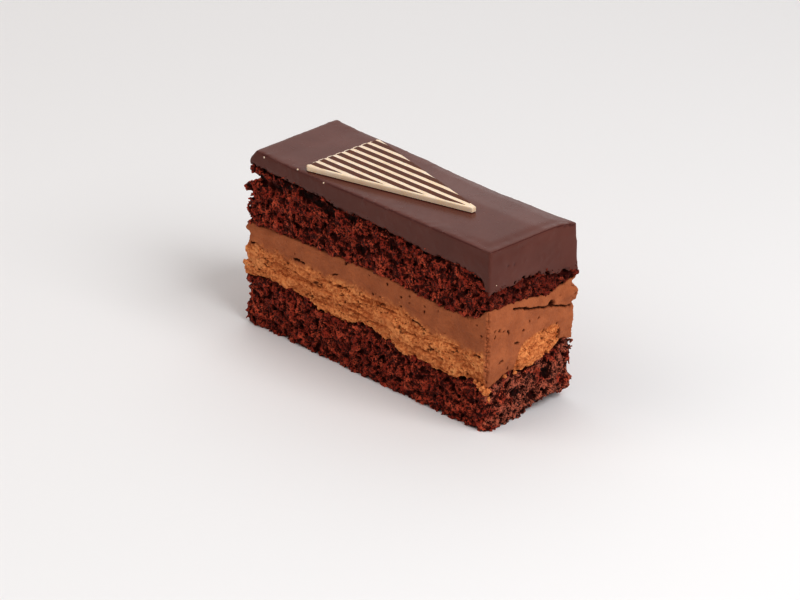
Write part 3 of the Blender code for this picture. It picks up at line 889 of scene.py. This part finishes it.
def sponge_material():
    """Dark crumb: red-brown on its webs, with painted shade near black in its cells and gaps, painted glints in
    its fine grain, and wet at the foot of the short end, where glints are partly painted.
    """
    made, tree, shader = new_material(
        "dark_sponge", 0.6, Specular_IOR_Level=0.27, Specular_Tint=(1.0, 0.46, 0.38, 1.0)
    )
    place = object_place(tree)
    raised, tone = mark(tree, "raised"), mark(tree, "tone")
    patch = tree.noise(place, 5.0 * MM, 3.0, 0.6)
    grain = tree.noise(place, 0.7 * MM, 3.0, 0.65)
    # Fine dark specks and painted glints, from the fine grain noise
    flecks_and_glints = tree.fade(grain, 0.36, 0.62, -0.40, 0.34)
    # Painted shade: the lower a place lies in the crumb, the nearer its colour comes to the near black of the
    # cells
    share = tree.math("MULTIPLY_ADD", raised, 0.85, flecks_and_glints)
    share = tree.math("MULTIPLY_ADD", tone, 0.5, tree.math("SUBTRACT", share, 0.08))
    share = tree.fade(share, 0.2, 1.0)
    cell_shade = (0.027, 0.0005, 0.0002)
    crumb = blend_colours(tree, share, cell_shade, (0.340, 0.046, 0.024))
    warm = blend_colours(tree, share, (0.036, 0.0007, 0.0003), (0.600, 0.122, 0.061))
    colour = blend_colours(tree, tree.fade(patch, 0.42, 0.66), crumb, warm)

    # The short end is darker above the mousse, and wet and glossy below it, where it is painted lighter and
    # greyer: partly a wet tone, partly painted glints
    x, _, z = tree.parts(place)
    at_end = tree.fade(x, 57.5 * MM, 59.0 * MM)
    above = tree.product(at_end, tree.fade(z, 27.0 * MM, 35.0 * MM), 0.45)
    colour = blend_colours(tree, above, colour, cell_shade)
    moist = tree.product(at_end, tree.fade(z, 27.0 * MM, 25.0 * MM))
    moist = tree.product(moist, tree.fade(tree.noise(place, 7.0 * MM), 0.38, 0.52))
    # Painted glints in part: the raised parts of wet crumb are painted lighter and greyer than dry crumb
    soaked_and_glints = blend_colours(tree, share, (0.014, 0.0016, 0.0008), (0.510, 0.206, 0.130))
    colour = blend_colours(tree, tree.product(moist, 0.55), colour, soaked_and_glints)
    # Painted shade: deep gaps are painted near black
    colour = blend_colours(tree, tree.fade(mark(tree, "sunk"), 0.2, 0.8), colour, (0.004, 0.0003, 0.0002))
    tree.feed(shader.inputs["Base Color"], colour)
    glossy = tree.fade(grain, 0.36, 0.60, 0.26, 0.80)
    dull = tree.fade(raised, 0.5, 0.1, 0.0, 0.25)
    glossy = tree.math("MULTIPLY_ADD", moist, -0.10, tree.math("ADD", glossy, dull))
    tree.feed(shader.inputs["Roughness"], glossy)
    tree.feed(shader.inputs["Normal"], bumped(tree, grain, 0.9, 0.35 * MM))
    return made


def mousse_material():
    """Mousse: brown where it is cut, paler and mottled where it is torn, with painted shade darkening its
    openings and the hollows between its torn lumps.
    """
    made, tree, shader = new_material(
        "chocolate_mousse", 0.6, Specular_IOR_Level=0.2, Specular_Tint=(1.0, 0.7, 0.4, 1.0)
    )
    torn, raised, sunk = (mark(tree, name) for name in ("torn", "raised", "sunk"))
    speck = tree.noise(object_place(tree), 1.1 * MM, 3.0, 0.6)
    cut = cloudy(tree, 6.0 * MM, (0.335, 0.111, 0.049), (0.425, 0.149, 0.065), 0.6, 4.0)
    ripped = cloudy(tree, 6.0 * MM, (0.61, 0.238, 0.090), (0.80, 0.358, 0.138), 0.6, 4.0)
    # Painted shade: the low parts of torn lumps are painted darker
    ripped = blend_colours(tree, tree.fade(raised, 0.15, 0.6), (0.37, 0.100, 0.026), ripped)
    ripped = blend_colours(tree, tree.fade(speck, 0.35, 0.6), (0.50, 0.165, 0.056), ripped)
    colour = blend_colours(tree, torn, cut, ripped)
    # Painted shade: the openings are painted dark
    colour = blend_colours(tree, tree.fade(sunk, 0.1, 1.0), colour, (0.065, 0.010, 0.003))
    tree.feed(shader.inputs["Base Color"], colour)
    roughness = finely_finished(tree, shader, 0.5 * MM, (0.5, 0.72), (0.5, 0.15 * MM))
    tree.feed(shader.inputs["Roughness"], roughness)
    return made


def glaze_material():
    """Glaze: glossier on top than on its cut walls, redder along the bend between them, and with painted shade
    in its dents and the bites in its foot.
    """
    made, tree, shader = new_material(
        "chocolate_glaze", 0.28, Specular_IOR_Level=0.38, Specular_Tint=(1.0, 0.88, 0.84, 1.0)
    )
    sunk, wall = mark(tree, "sunk"), mark(tree, "wall")
    colour = cloudy(tree, 14.0 * MM, (0.112, 0.032, 0.022), (0.132, 0.040, 0.028), 0.55)
    # Painted shade: dents and bites in the foot are painted darker
    colour = blend_colours(tree, tree.fade(sunk, 0.1, 0.9), colour, (0.05, 0.008, 0.005))
    bend = tree.product(wall, tree.math("SUBTRACT", 1.0, wall))
    colour = blend_colours(tree, tree.fade(bend, 0.02, 0.16, 0.0, 0.85), colour, (0.072, 0.012, 0.008))
    tree.feed(shader.inputs["Base Color"], colour)
    roughness = finely_finished(tree, shader, 2.5 * MM, (0.20, 0.28), (0.06, 0.03 * MM), 0.55, 0.25)
    tree.feed(shader.inputs["Roughness"], tree.math("MULTIPLY_ADD", wall, 0.22, roughness))
    return made


def white_chocolate_material():
    made, tree, shader = new_material("white_chocolate", 0.35, Specular_IOR_Level=0.5, Subsurface_Weight=0.15)
    shader.inputs["Subsurface Radius"].default_value = (1.0, 0.7, 0.4)
    shader.inputs["Subsurface Scale"].default_value = 1.0 * MM
    shade = cloudy(tree, 5.0 * MM, (0.80, 0.630, 0.450), (0.84, 0.705, 0.555))
    tree.feed(shader.inputs["Base Color"], shade)
    roughness = finely_finished(tree, shader, 0.8 * MM, (0.3, 0.42), (0.15, 0.05 * MM))
    tree.feed(shader.inputs["Roughness"], roughness)
    return made


def dark_stripe_material():
    made, tree, shader = new_material("dark_stripe_chocolate", 0.45, Specular_IOR_Level=0.22)
    shade = cloudy(tree, 2.5 * MM, (0.105, 0.033, 0.016), (0.140, 0.046, 0.024))
    tree.feed(shader.inputs["Base Color"], shade)
    roughness = finely_finished(tree, shader, 2.5 * MM, (0.45, 0.58), (0.1, 0.05 * MM), 0.5)
    tree.feed(shader.inputs["Roughness"], roughness)
    return made


def upright_solid(bm, outline, low, high):
    """A closed solid over an anticlockwise outline, in millimetres. Hands back its top face."""
    base = [bm.verts.new((x * MM, y * MM, low * MM)) for x, y in outline]
    top = [bm.verts.new((x * MM, y * MM, high * MM)) for x, y in outline]
    bm.faces.new(base[::-1])
    lid = bm.faces.new(top)
    for i in range(len(outline)):
        following = (i + 1) % len(outline)
        bm.faces.new((base[i], base[following], top[following], top[i]))
    return lid


def edge_height(x, side, rim):
    """Where the triangle's near (side -1) or far (side 1) long edge lies at x, drawn in by rim."""
    share = (x - TRIANGLE_BASE_X) / TRIANGLE_LENGTH
    half = (TRIANGLE_BASE + (TRIANGLE_TIP - TRIANGLE_BASE) * share) / 2 - rim
    return TRIANGLE_AXIS_Y + side * half


def stripe_end(near, far):
    """How far along X a stripe between two lines runs before it meets the triangle's long edge or tip."""
    half = min(abs(near - TRIANGLE_AXIS_Y), abs(far - TRIANGLE_AXIS_Y)) + FAR_RIM
    share = (TRIANGLE_BASE / 2 - half) / ((TRIANGLE_BASE - TRIANGLE_TIP) / 2)
    tip = TRIANGLE_BASE_X + TRIANGLE_LENGTH
    return min(TRIANGLE_BASE_X + TRIANGLE_LENGTH * min(share, 1.0), tip - STRIPE_TIP_GAP)


def finished(name, bm, material):
    """The mesh of a bmesh as a new object in the scene."""
    mesh = bpy.data.meshes.new(name)
    bm.to_mesh(mesh)
    bm.free()
    mesh.materials.append(material)
    piece = bpy.data.objects.new(name, mesh)
    bpy.context.scene.collection.objects.link(piece)
    return piece


def white_plate(material):
    """The triangle's white plate. The ends of its white stripes stand out of its base as round noses."""
    low, high = (corner.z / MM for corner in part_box("striped_triangle"))
    outline = []
    white_width = STRIPE_PITCH - DARK_STRIPE_WIDTH
    for i in range(DARK_STRIPES + 1):
        middle = TRIANGLE_AXIS_Y - (i - DARK_STRIPES / 2) * STRIPE_PITCH
        length = CORNER_NOSE_LENGTH if i in (0, DARK_STRIPES) else NOSE_LENGTH
        for step in range(NOSE_STEPS + 1):
            turn = math.pi * step / NOSE_STEPS
            out = length * math.sin(turn)
            outline.append((TRIANGLE_BASE_X + length - out, middle + white_width / 2 * math.cos(turn)))
    outline.append((TRIANGLE_BASE_X + TRIANGLE_LENGTH, TRIANGLE_AXIS_Y - TRIANGLE_TIP / 2))
    outline.append((TRIANGLE_BASE_X + TRIANGLE_LENGTH, TRIANGLE_AXIS_Y + TRIANGLE_TIP / 2))
    bm = bmesh.new()
    lid = upright_solid(bm, outline, low, high - STRIPE_RELIEF)
    bmesh.ops.bevel(
        bm, geom=list(lid.edges), offset=TRIANGLE_EDGE * MM, segments=3, profile=0.5, affect="EDGES"
    )
    bmesh.ops.recalc_face_normals(bm, faces=bm.faces)
    plate = finished("white_chocolate_plate", bm, material)
    plate.data.shade_smooth()
    plate.data.set_sharp_from_angle(angle=math.radians(35))
    return plate


def dark_stripes(material):
    """The dark stripes: thin strips sunk into the plate, which run to points along its long edges."""
    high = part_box("striped_triangle")[1].z / MM
    draw = random.Random(4)
    bm = bmesh.new()
    for i in range(DARK_STRIPES):
        middle = TRIANGLE_AXIS_Y + (i - (DARK_STRIPES - 1) / 2) * STRIPE_PITCH
        near, far = middle - DARK_STRIPE_WIDTH / 2, middle + DARK_STRIPE_WIDTH / 2
        start = TRIANGLE_BASE_X + NOSE_LENGTH + STRIPE_BASE_GAP
        last = stripe_end(near, far)
        lower, upper = [], []
        for step in range(STRIPE_STEPS + 1):
            x = start + (last - start) * step / STRIPE_STEPS
            wave = draw.uniform(-STRIPE_WAVE, STRIPE_WAVE)
            bottom = max(near + wave, edge_height(x, -1, NEAR_RIM))
            top = min(far + wave, edge_height(x, 1, FAR_RIM))
            if top - bottom < STRIPE_POINT:
                lower.append((x, (top + bottom) / 2))
                break
            lower.append((x, bottom))
            upper.append((x, top))
        upright_solid(bm, lower + upper[::-1], high - DARK_STRIPE_DEPTH, high)
    bmesh.ops.recalc_face_normals(bm, faces=bm.faces)
    return finished("dark_chocolate_stripes", bm, material)


def stuck_bits(name, places, material):
    """Small lumps stuck to the slice, each at (x, y, z) and so wide, in millimetres."""
    draw = random.Random(9)
    bm = bmesh.new()
    for x, y, z, size in places:
        made = bmesh.ops.create_icosphere(bm, subdivisions=3, radius=size / 2 * MM)["verts"]
        shift = Vector((draw.random(), draw.random(), draw.random())) * 10
        for vert in made:
            lump = 1 + 0.9 * noise.noise(vert.co / (size * 0.3 * MM) + shift)
            vert.co = vert.co * lump + Vector((x, y, z)) * MM
    bits = finished(name, bm, material)
    for mark_name in ("torn", "raised"):
        marked = bits.data.attributes.new(mark_name, "FLOAT", "POINT")
        for point in marked.data:
            point.value = 1.0
    return bits


def stage_material():
    made, _, shader = new_material("pale_floor", 0.75)
    shader.inputs["Base Color"].default_value = FLOOR_COLOUR
    return made


def area_light(name, azimuth, elevation, distance, size, power, colour):
    """A light aimed at the slice from azimuth degrees round from +X and elevation degrees up. Its size is
    (width, height)."""
    data = bpy.data.lights.new(name, "AREA")
    data.energy = power
    data.shape = "RECTANGLE"
    data.size, data.size_y = size
    data.color = colour
    light = bpy.data.objects.new(name, data)
    bpy.context.scene.collection.objects.link(light)
    turn, rise = math.radians(azimuth), math.radians(elevation)
    away = Vector((math.cos(turn) * math.cos(rise), math.sin(turn) * math.cos(rise), math.sin(rise)))
    light.location = away * distance + Vector((0, 0, 0.03))
    light.rotation_euler = away.to_track_quat("Z", "Y").to_euler()


def add_camera():
    data = bpy.data.cameras.new("camera")
    data.lens = LENS
    data.sensor_width = SENSOR_WIDTH
    data.clip_end = 20.0
    camera = bpy.data.objects.new("camera", data)
    bpy.context.scene.collection.objects.link(camera)
    turn, rise, roll = (math.radians(a) for a in (CAMERA_AZIMUTH, CAMERA_ELEVATION, CAMERA_ROLL))
    back = Vector((math.sin(turn) * math.cos(rise), -math.cos(turn) * math.cos(rise), math.sin(rise)))
    level = Vector((0, 0, 1)).cross(back).normalized()
    upright = back.cross(level)
    right = level * math.cos(roll) + upright * math.sin(roll)
    up = upright * math.cos(roll) - level * math.sin(roll)
    turned = Matrix((right, up, back)).transposed().to_4x4()
    camera.matrix_world = Matrix.Translation(CAMERA_PLACE) @ turned
    bpy.context.scene.camera = camera


cloudy_shade = cloudy_shade_group()
fine_finish = fine_finish_group()
sponge = sponge_material()
mousse = mousse_material()
glaze = glaze_material()
white_chocolate = white_chocolate_material()
dark_chocolate = dark_stripe_material()

tear_lines = line_object("tear_lines", on_near_face(NEAR_TEARS) + on_short_end(END_TEARS))
notch_lines = line_object("notch_lines", NOTCHES)
gap_lines = line_object("gap_lines", on_near_face(SPONGE_GAPS) + on_short_end(END_GAPS) + START_GAPS)
glaze_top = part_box("chocolate_glaze")[1].z / MM
dent_lines = line_object(
    "dent_lines",
    [[(x, y, glaze_top) for x, y in line] for line in TOP_DENTS]
    + on_short_end([[pit] for pit in END_PITS])
    + on_short_end([SKIN_EDGE]),
)

sponge_tree = carving_tree(
    "crumb_carving",
    [
        ("Web Height", "Float", 2.1 * MM),
        ("Pore Depth", "Float", 1.5 * MM),
        ("Fine Height", "Float", 0.6 * MM),
        ("Gap Lines", "Object"),
        ("Layer Above", "Object"),
    ],
    sponge_relief,
    in_depth=True,
)
mousse_tree = carving_tree(
    "mousse_carving",
    [
        ("Torn Height", "Float", 3.2 * MM),
        ("Cut Height", "Float", 0.8 * MM),
        ("Flake Height", "Float", 0.8 * MM),
        ("Bubble Rarity", "Float", 0.62),
        ("Tear Lines", "Object"),
        ("Notch Lines", "Object"),
    ],
    mousse_relief,
    in_depth=False,
)
glaze_tree = carving_tree(
    "glaze_carving",
    [("Wave Height", "Float", 0.25 * MM), ("Dent Lines", "Object"), ("Layer Below", "Object")],
    glaze_relief,
    in_depth=True,
)

grain_tree = scatter_tree()

lower_crumb, upper_crumb = (
    carved(
        name, node, sponge_tree, sponge, CELL["sponge"],
        Growth=0.15 * MM, Flatness=0.02, **{"Gap Lines": gap_lines, "Layer Above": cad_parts[above]},
    )
    for name, node, above in (
        ("lower_sponge_crumb", "sponge_lower", "mousse"),
        ("upper_sponge_crumb", "sponge_upper", "chocolate_glaze"),
    )
)
mousse_body = carved(
    "mousse_body", "mousse", mousse_tree, mousse, CELL["mousse"],
    Growth=0.1 * MM, **{"Tear Lines": tear_lines, "Notch Lines": notch_lines},
)
glaze_body = carved(
    "glaze_body", "chocolate_glaze", glaze_tree, glaze, CELL["glaze"],
    Smoothing=6, **{"Dent Lines": dent_lines, "Layer Below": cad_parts["sponge_upper"]},
)
for helper in (tear_lines, notch_lines, dent_lines, gap_lines):
    bpy.data.objects.remove(helper)

# For each: its seed, how many grains a square millimetre has at most, and the largest grain
lower_grains, upper_grains, mousse_bits, glaze_crumbs = (
    strewn(name, body, grain_tree, food, seed, per_mm2, largest)
    for name, body, food, seed, per_mm2, largest in (
        ("lower_sponge_grains", lower_crumb, sponge, 11, 1.15, 1.1 * MM),
        ("upper_sponge_grains", upper_crumb, sponge, 12, 1.15, 1.1 * MM),
        ("mousse_bits", mousse_body, mousse, 13, 0.45, 0.9 * MM),
        ("glaze_crumbs", glaze_body, sponge, 14, 0.35, 0.9 * MM),
    )
)
plate = white_plate(white_chocolate)
stripes = dark_stripes(dark_chocolate)
specks = stuck_bits("white_specks", SPECKS, white_chocolate)
dragged = stuck_bits("dragged_mousse", DRAGGED_MOUSSE, mousse)

# Each piece, its material slot, and the node that it takes the place of
for piece, slot, node in (
    (lower_crumb, "sponge", "sponge_lower"),
    (upper_crumb, "sponge", "sponge_upper"),
    (mousse_body, "mousse", "mousse"),
    (glaze_body, "glaze", "chocolate_glaze"),
    (plate, "white_chocolate", "striped_triangle"),
    (lower_grains, "sponge", None),
    (upper_grains, "sponge", None),
    (mousse_bits, "mousse", None),
    (glaze_crumbs, "sponge", None),
    (stripes, "dark_stripe", None),
    (specks, "white_chocolate", None),
    (dragged, "mousse", None),
):
    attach(piece, "root")
    if node:
        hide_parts(node)

floor_mesh = bpy.data.meshes.new("pale_floor")
floor_corners = [(x * FLOOR_REACH, y * FLOOR_REACH, 0) for x, y in ((-1, -1), (1, -1), (1, 1), (-1, 1))]
floor_mesh.from_pydata(floor_corners, [], [(0, 1, 2, 3)])
floor = bpy.data.objects.new("pale_floor", floor_mesh)
bpy.context.scene.collection.objects.link(floor)
floor_mesh.materials.append(stage_material())

area_light("window", 0, 45, 1.2, (0.8, 0.8), 11.5, (0.98, 1.0, 1.02))
area_light("fill", -125, 45, 1.3, (0.9, 0.9), 4.2, (1.0, 0.93, 0.87))
area_light("back_panel", 135, 45, 1.3, (1.6, 1.4), 4.0, (1.0, 0.99, 0.985))
area_light("low_glow", 135, 10, 1.3, (1.8, 0.35), 1.1, (1.0, 0.99, 0.985))

world = bpy.data.worlds.new("soft_room")
world.use_nodes = True
background = world.node_tree.nodes["Background"]
background.inputs["Color"].default_value = ROOM_COLOUR
background.inputs["Strength"].default_value = ROOM_STRENGTH
bpy.context.scene.world = world
bpy.context.scene.view_settings.view_transform = "Standard"
bpy.context.scene.view_settings.gamma = VIEW_GAMMA
add_camera()
